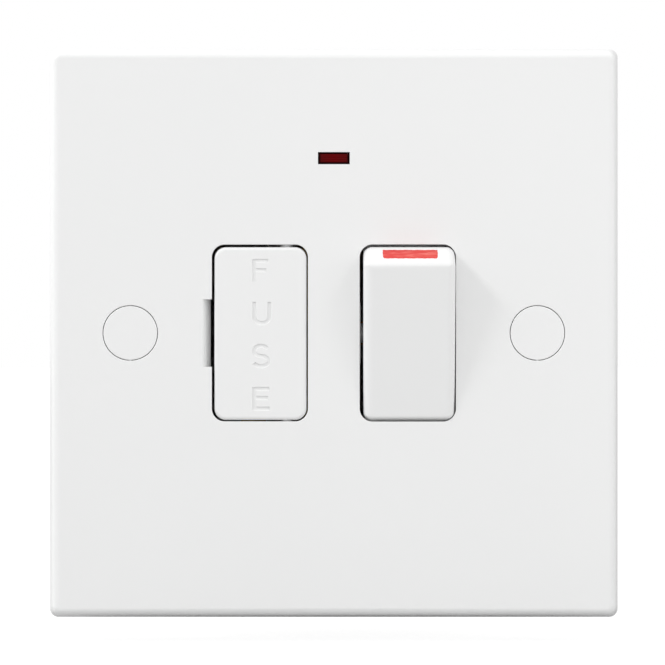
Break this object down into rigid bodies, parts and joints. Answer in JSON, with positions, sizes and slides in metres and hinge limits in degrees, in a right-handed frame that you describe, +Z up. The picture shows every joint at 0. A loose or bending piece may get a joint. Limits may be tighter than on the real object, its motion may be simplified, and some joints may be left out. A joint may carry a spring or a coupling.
{
  "type": "switched fused connection unit",
  "caption": "Square white wall plate with a rocker switch, a hinged fuse carrier, a neon lens, capped fixing holes and a rear base with pinch-screw terminals.",
  "frame": {"origin": "midway between the two fixing holes, on the wall plane at the plate's rear rim", "axes": "+X to the right seen from the front, +Y into the wall, +Z up"},
  "size_m": [0.086, 0.0278, 0.086],
  "materials": {
    "white_moulding": "white thermoset moulding, semi-gloss",
    "base_moulding": "off-white moulding, matt",
    "steel": "zinc-plated steel",
    "brass": "rolled brass",
    "silver": "silver contact alloy",
    "plunger_plastic": "natural nylon",
    "ceramic": "unglazed ceramic",
    "plated_cap": "nickel-plated brass",
    "red_lens": "clear dark red plastic",
    "lamp_glass": "clear glass",
    "resistor_coat": "lacquered",
    "lead_wire": "tinned copper"
  },
  "bodies": {
    "housing": {"front_plate": "white_moulding", "screw_cap_left": "white_moulding", "screw_cap_right": "white_moulding", "rear_base": "base_moulding", "base_screws": "steel", "terminal_screws": "steel", "supply_earth_block": "brass", "supply_live_block": "brass", "supply_neutral_block": "brass", "load_live_block": "brass", "load_earth_block": "brass", "load_neutral_block": "brass", "supply_live_strip": "brass", "supply_neutral_strip": "brass", "live_link": "brass", "load_live_strip": "brass", "load_neutral_strip": "brass", "earth_strap": "brass", "fixed_tips": "silver", "neon_lens": "red_lens", "neon_lamp": "lamp_glass", "neon_resistor": "resistor_coat", "neon_leads": "lead_wire"},
    "rocker": {"rocker": "white_moulding", "spring_live": "steel", "spring_neutral": "steel"},
    "plunger_live": {"plunger_live": "plunger_plastic"},
    "plunger_neutral": {"plunger_neutral": "plunger_plastic"},
    "contact_live": {"moving_contact_live": "brass", "moving_tip_live": "silver"},
    "contact_neutral": {"moving_contact_neutral": "brass", "moving_tip_neutral": "silver"},
    "carrier": {"fuse_carrier": "white_moulding", "fuse_tube": "ceramic", "fuse_end_caps": "plated_cap"}
  },
  "joints": [
    {"name": "rocker_hinge", "type": "hinge", "parent": "housing", "child": "rocker", "pos_m": [0.01114, -0.0036, 0], "axis": [1, 0, 0], "range_deg": [-17.8, 0]},
    {"name": "carrier_hinge", "type": "hinge", "parent": "housing", "child": "carrier", "pos_m": [-0.00704, -0.0072, -0.00007], "axis": [0, 0, 1], "range_deg": [0, 65]},
    {"name": "plunger_live_slide", "type": "slide", "parent": "rocker", "child": "plunger_live", "axis": [0, -0.988, -0.1547], "range_m": [0, 0.0015], "stiffness_N_per_m": 300, "springref_m": -0.002, "deforming": ["spring_live"]},
    {"name": "contact_live_hinge", "type": "hinge", "parent": "housing", "child": "contact_live", "pos_m": [0.00774, 0.007, 0], "axis": [1, 0, 0], "range_deg": [0, 14.5]},
    {"name": "plunger_neutral_slide", "type": "slide", "parent": "rocker", "child": "plunger_neutral", "axis": [0, -0.988, -0.1547], "range_m": [0, 0.0015], "stiffness_N_per_m": 300, "springref_m": -0.002, "deforming": ["spring_neutral"]},
    {"name": "contact_neutral_hinge", "type": "hinge", "parent": "housing", "child": "contact_neutral", "pos_m": [0.01454, 0.007, 0], "axis": [1, 0, 0], "range_deg": [0, 14.5]}
  ],
  "couplings": [
    {"joint": "contact_live_hinge", "follows": "rocker_hinge", "ratio": -0.80899},
    {"joint": "contact_neutral_hinge", "follows": "rocker_hinge", "ratio": -0.80899}
  ]
}
